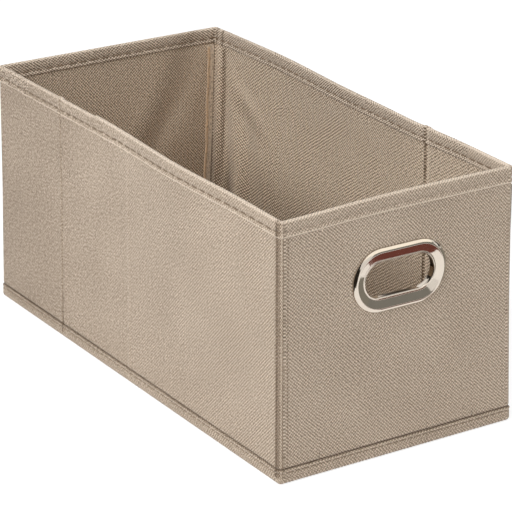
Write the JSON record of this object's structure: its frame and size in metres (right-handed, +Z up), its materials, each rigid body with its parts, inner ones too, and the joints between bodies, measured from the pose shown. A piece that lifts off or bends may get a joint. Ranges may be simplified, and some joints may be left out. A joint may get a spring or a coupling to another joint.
{
  "type": "folding cloth storage bin",
  "caption": "Open-topped cloth-covered storage bin with stiff creased walls that fold flat, a loose base board and a metal oval finger eyelet in the front.",
  "frame": {"origin": "middle of the underside, between the outer faces of the walls", "axes": "+Z up, +X to the right seen from the front, -Y is the front wall with the eyelet"},
  "size_m": [0.15, 0.3116, 0.15],
  "materials": {
    "cloth": "taupe linen-look twill",
    "lining": "taupe linen-look twill, inside",
    "board": "grey pulp board",
    "overlock": "overlocked seam allowance, tan thread",
    "eyelet": "polished nickel plate"
  },
  "bodies": {
    "front_wall": {"bottom_cloth": "cloth", "eyelet": "eyelet", "eyelet_washer": "eyelet", "front_board": "board", "front_bottom_band": "cloth", "front_cloth": "cloth", "front_hem": "cloth", "front_lining": "lining", "front_seam_flap": "overlock"},
    "left_front_wall": {"left_front_board": "board", "left_front_bottom_band": "cloth", "left_front_cloth": "cloth", "left_front_hem": "cloth", "left_front_lining": "lining"},
    "left_middle_wall": {"left_middle_board": "board", "left_middle_bottom_band": "cloth", "left_middle_cloth": "cloth", "left_middle_hem": "cloth", "left_middle_lining": "lining"},
    "left_rear_wall": {"left_rear_board": "board", "left_rear_bottom_band": "cloth", "left_rear_cloth": "cloth", "left_rear_hem": "cloth", "left_rear_lining": "lining"},
    "back_wall": {"back_board": "board", "back_bottom_band": "cloth", "back_cloth": "cloth", "back_hem": "cloth", "back_lining": "lining", "back_seam_flap": "overlock"},
    "right_rear_wall": {"right_rear_board": "board", "right_rear_bottom_band": "cloth", "right_rear_cloth": "cloth", "right_rear_hem": "cloth", "right_rear_lining": "lining"},
    "right_front_wall": {"right_front_board": "board", "right_front_bottom_band": "cloth", "right_front_cloth": "cloth", "right_front_hem": "cloth", "right_front_lining": "lining"},
    "right_middle_wall": {"right_middle_board": "board", "right_middle_bottom_band": "cloth", "right_middle_cloth": "cloth", "right_middle_hem": "cloth", "right_middle_lining": "lining"},
    "base_board": {"base_board_core": "board", "base_board_cover": "lining"}
  },
  "joints": [
    {"name": "front_left_corner_fold", "type": "hinge", "parent": "front_wall", "child": "left_front_wall", "pos_m": [-0.075, -0.155, 0.075], "axis": [0, 0, 1], "range_deg": [0, 86], "deforming": ["bottom_cloth"]},
    {"name": "left_mid_crease_fold", "type": "hinge", "parent": "left_front_wall", "child": "left_middle_wall", "pos_m": [-0.0721, 0, 0.075], "axis": [0, 0, 1], "range_deg": [-172.5, 0]},
    {"name": "left_quarter_crease_fold", "type": "hinge", "parent": "left_middle_wall", "child": "left_rear_wall", "pos_m": [-0.075, 0.0775, 0.075], "axis": [0, 0, 1], "range_deg": [0, 172.5]},
    {"name": "back_left_corner_fold", "type": "hinge", "parent": "left_rear_wall", "child": "back_wall", "pos_m": [-0.0721, 0.1521, 0.075], "axis": [0, 0, 1], "range_deg": [-86.5, 0]},
    {"name": "back_right_corner_fold", "type": "hinge", "parent": "back_wall", "child": "right_rear_wall", "pos_m": [0.075, 0.155, 0.075], "axis": [0, 0, 1], "range_deg": [0, 86.5]},
    {"name": "front_right_corner_fold", "type": "hinge", "parent": "front_wall", "child": "right_front_wall", "pos_m": [0.0721, -0.1521, 0.075], "axis": [0, 0, 1], "range_deg": [0, 86.5]},
    {"name": "right_quarter_crease_fold", "type": "hinge", "parent": "right_front_wall", "child": "right_middle_wall", "pos_m": [0.075, -0.0775, 0.075], "axis": [0, 0, 1], "range_deg": [-172.5, 0]},
    {"name": "base_board_lift", "type": "slide", "parent": "front_wall", "child": "base_board", "axis": [0, 0, 1], "range_m": [0, 0.17]}
  ],
  "couplings": [
    {"joint": "left_mid_crease_fold", "follows": "front_left_corner_fold", "ratio": -2},
    {"joint": "left_quarter_crease_fold", "follows": "front_left_corner_fold", "ratio": 2},
    {"joint": "back_left_corner_fold", "follows": "front_left_corner_fold", "ratio": -1},
    {"joint": "back_right_corner_fold", "follows": "front_left_corner_fold", "ratio": 1},
    {"joint": "front_right_corner_fold", "follows": "front_left_corner_fold", "ratio": 1},
    {"joint": "right_quarter_crease_fold", "follows": "front_left_corner_fold", "ratio": -2}
  ]
}
